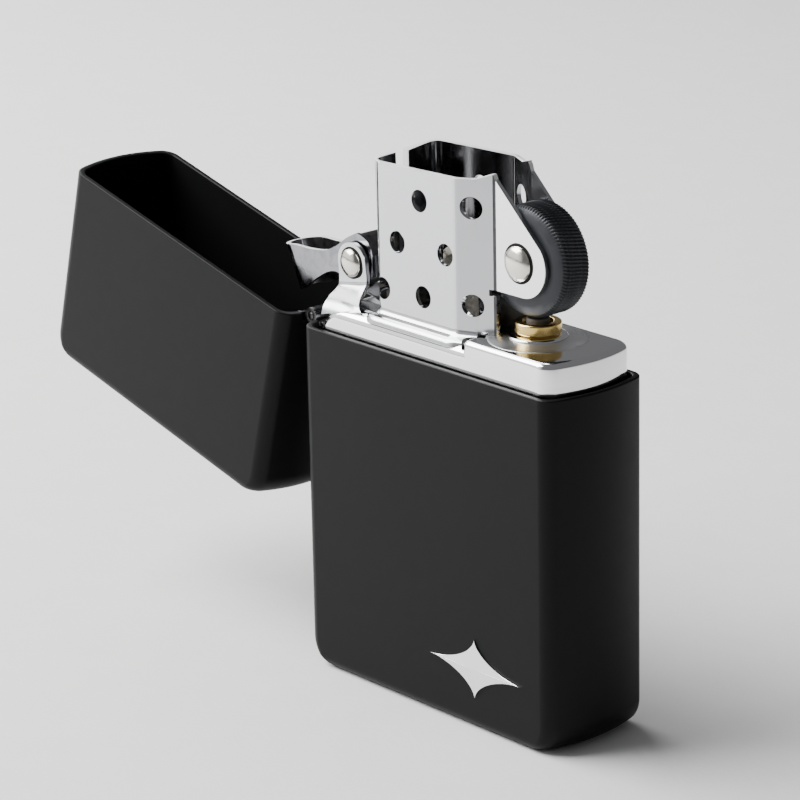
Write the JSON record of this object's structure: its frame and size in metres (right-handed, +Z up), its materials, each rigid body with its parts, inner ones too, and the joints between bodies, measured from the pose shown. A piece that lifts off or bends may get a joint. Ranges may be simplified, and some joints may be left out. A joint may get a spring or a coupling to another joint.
{
  "type": "flip-top lighter",
  "caption": "Refillable flip-top pocket lighter: hinged lid, pull-out insert, pierced windguard, sprung cam, striking wheel, flint and wick.",
  "frame": {"origin": "centre of the case's flat bottom", "axes": "+Z up, +X towards the striking wheel's end, +Y through the case from the emblem's face to the back"},
  "size_m": [0.0805, 0.0133, 0.0561],
  "materials": {
    "black_paint": "fine matt black coating",
    "polished_metal": "polished",
    "hinge_steel": "darkened steel",
    "chrome": "bright plate",
    "spring_steel": "bright rolled",
    "nickel": "nickel plate",
    "wheel_steel": "blackened, knurled",
    "brass": "turned",
    "flint_alloy": "dull grey",
    "cotton": "woven and loose cotton",
    "felt": "pressed felt"
  },
  "bodies": {
    "case": {"case_body": "black_paint", "case_hinge_leaf": "hinge_steel", "hinge_pin": "hinge_steel", "emblem": "polished_metal"},
    "lid": {"lid_shell": "black_paint", "lid_hinge_leaf": "hinge_steel"},
    "insert": {"insert_can": "chrome", "chimney": "chrome", "wheel_axle": "nickel", "cam_pin": "nickel", "cam_spring": "spring_steel", "cam_spring_rivet": "nickel", "flint_tube": "brass", "wick": "cotton", "wadding_1": "cotton", "wadding_2": "cotton", "wadding_3": "cotton", "wadding_4": "cotton", "wadding_5": "cotton", "felt_pad": "felt"},
    "cam": {"cam_lever": "spring_steel"},
    "wheel": {"striker_wheel": "wheel_steel"},
    "flint": {"flint": "flint_alloy", "flint_follower": "brass"},
    "spring": {"flint_spring": "spring_steel"},
    "screw": {"flint_screw": "brass"}
  },
  "joints": [
    {"name": "lid_hinge", "type": "hinge", "parent": "case", "child": "lid", "pos_m": [-0.0194, 0, 0.03645], "axis": [0, -1, 0], "range_deg": [-165.5, 0]},
    {"name": "insert_slide", "type": "slide", "parent": "case", "child": "insert", "axis": [0, 0, 1], "range_m": [0, 0.045]},
    {"name": "cam_pivot", "type": "hinge", "parent": "insert", "child": "cam", "pos_m": [-0.0141, 0, 0.04285], "axis": [0, -1, 0], "range_deg": [-98.5, 0]},
    {"name": "wheel_spin", "type": "hinge", "parent": "insert", "child": "wheel", "pos_m": [0.0101, 0, 0.0475], "axis": [0, 1, 0], "continuous": true},
    {"name": "flint_feed", "type": "slide", "parent": "insert", "child": "flint", "axis": [0, 0, 1], "range_m": [-0.0025, 0], "stiffness_N_per_m": 300, "springref_m": 0.008, "deforming": ["flint_spring"]},
    {"name": "screw_travel", "type": "slide", "parent": "insert", "child": "spring", "axis": [0, 0, -1], "range_m": [0, 0.002]},
    {"name": "screw_turn", "type": "hinge", "parent": "spring", "child": "screw", "pos_m": [0.01, 0, 0.005], "axis": [0, 0, -1], "range_deg": [0, 1440]}
  ],
  "couplings": [
    {"joint": "cam_pivot", "follows": "lid_hinge", "ratio": 0.592},
    {"joint": "screw_turn", "follows": "screw_travel", "rad_per_m": 12566}
  ]
}
